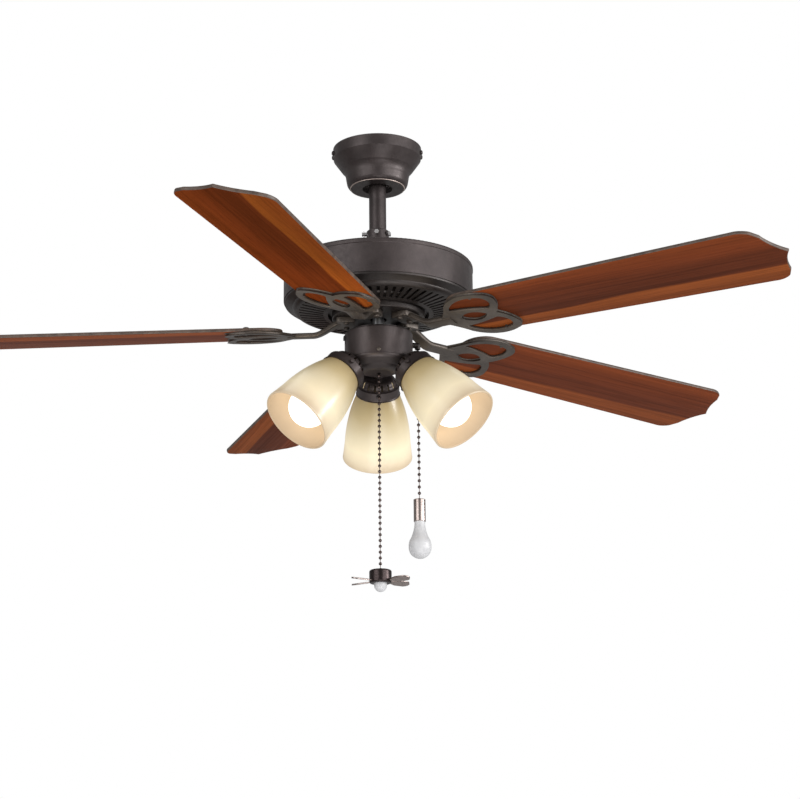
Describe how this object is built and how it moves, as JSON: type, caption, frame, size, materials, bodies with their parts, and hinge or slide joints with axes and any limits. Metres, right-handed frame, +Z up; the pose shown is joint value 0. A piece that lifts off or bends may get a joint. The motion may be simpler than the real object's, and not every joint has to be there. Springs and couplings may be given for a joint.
{
  "type": "ceiling fan with light",
  "caption": "Ceiling fan on a short rod: pitched wooden blades on openwork arms, vented motor housing, tilted bell shades with globe bulbs, and two bead pull chains with pendants.",
  "frame": {"origin": "centre of the hanger bracket's top face, midway between its two ceiling slots, in the plane of the ceiling", "axes": "+Z up, into the ceiling and along the fan's spin axis; +X along the bracket's long side, from slot to slot; +Y from the key of the ball's seat to its open mouth"},
  "size_m": [1.2098, 1.2561, 0.6742],
  "materials": {
    "steel_zinc": "zinc plated, satin",
    "bronze_paint": "oil-rubbed bronze, satin",
    "black_nylon": "moulded, matt",
    "wire_jacket": "smooth insulation",
    "lamination": "stacked sheet, oiled",
    "copper_winding": "enamelled copper wire",
    "cast_aluminium": "as cast",
    "blade_wood": "reddish-brown grain, satin varnish",
    "shade_glass": "frosted cream",
    "bulb_glass": "frosted white, lit",
    "socket_phenolic": "moulded",
    "cap_aluminium": "bright",
    "chain_metal": "coppery nickel beads",
    "frosted_glass": "frosted white"
  },
  "bodies": {
    "mounting": {"hanger_bracket": "steel_zinc", "canopy": "bronze_paint", "canopy_screws": "bronze_paint"},
    "suspension": {"hanger_ball": "black_nylon", "downrod": "bronze_paint", "rod_pins": "steel_zinc", "lead_wires": "wire_jacket", "motor_collar": "bronze_paint", "set_screws": "bronze_paint", "housing_top": "bronze_paint", "housing_base": "bronze_paint", "housing_screws": "bronze_paint", "motor_shaft": "steel_zinc", "bearings": "steel_zinc", "stator_core": "lamination", "stator_windings": "copper_winding", "adapter_plate": "steel_zinc", "shaft_nut": "steel_zinc", "switch_cup": "bronze_paint", "cup_screws": "bronze_paint", "capacitor": "black_nylon", "light_switch": "black_nylon", "chain_guide": "bronze_paint", "fan_switch": "black_nylon", "reverse_switch": "black_nylon", "fitter_bowl": "bronze_paint", "shade_holder_1": "bronze_paint", "shade_holder_2": "bronze_paint", "shade_holder_3": "bronze_paint", "shade_1": "shade_glass", "shade_2": "shade_glass", "shade_3": "shade_glass", "bulb_1": "bulb_glass", "bulb_2": "bulb_glass", "bulb_3": "bulb_glass", "thumbscrews": "bronze_paint", "lamp_sockets": "socket_phenolic", "bulb_caps": "cap_aluminium"},
    "rotor": {"rotor_cage": "lamination", "rotor_top": "cast_aluminium", "rotor_bottom": "cast_aluminium", "blade_1": "blade_wood", "blade_2": "blade_wood", "blade_3": "blade_wood", "blade_4": "blade_wood", "blade_5": "blade_wood", "blade_arm_1": "bronze_paint", "blade_arm_2": "bronze_paint", "blade_arm_3": "bronze_paint", "blade_arm_4": "bronze_paint", "blade_arm_5": "bronze_paint", "arm_screws": "bronze_paint", "blade_screws": "bronze_paint"},
    "fan_pull": {"fan_chain": "chain_metal", "fan_pendant": "bronze_paint", "fan_pendant_tip": "frosted_glass"},
    "light_pull": {"light_chain": "chain_metal", "light_pendant_sleeve": "bronze_paint", "light_pendant_bulb": "frosted_glass"},
    "reverse_knob": {"reverse_slider": "black_nylon"}
  },
  "joints": [
    {"name": "hanger_tilt", "type": "hinge", "parent": "mounting", "child": "suspension", "pos_m": [0, 0, -0.038], "axis": [1, 0, 0], "range_deg": [-15, 15]},
    {"name": "rotor_spin", "type": "hinge", "parent": "suspension", "child": "rotor", "pos_m": [0, 0, -0.23], "axis": [0, 0, 1], "continuous": true},
    {"name": "fan_chain_pull", "type": "slide", "parent": "suspension", "child": "fan_pull", "axis": [0, 0, -1], "range_m": [0, 0.008], "stiffness_N_per_m": 800, "springref_m": -0.003},
    {"name": "light_chain_pull", "type": "slide", "parent": "suspension", "child": "light_pull", "axis": [0, 0, -1], "range_m": [0, 0.005], "stiffness_N_per_m": 800, "springref_m": -0.003},
    {"name": "reverse_slide", "type": "slide", "parent": "suspension", "child": "reverse_knob", "axis": [0, 0, -1], "range_m": [0, 0.0065]}
  ]
}
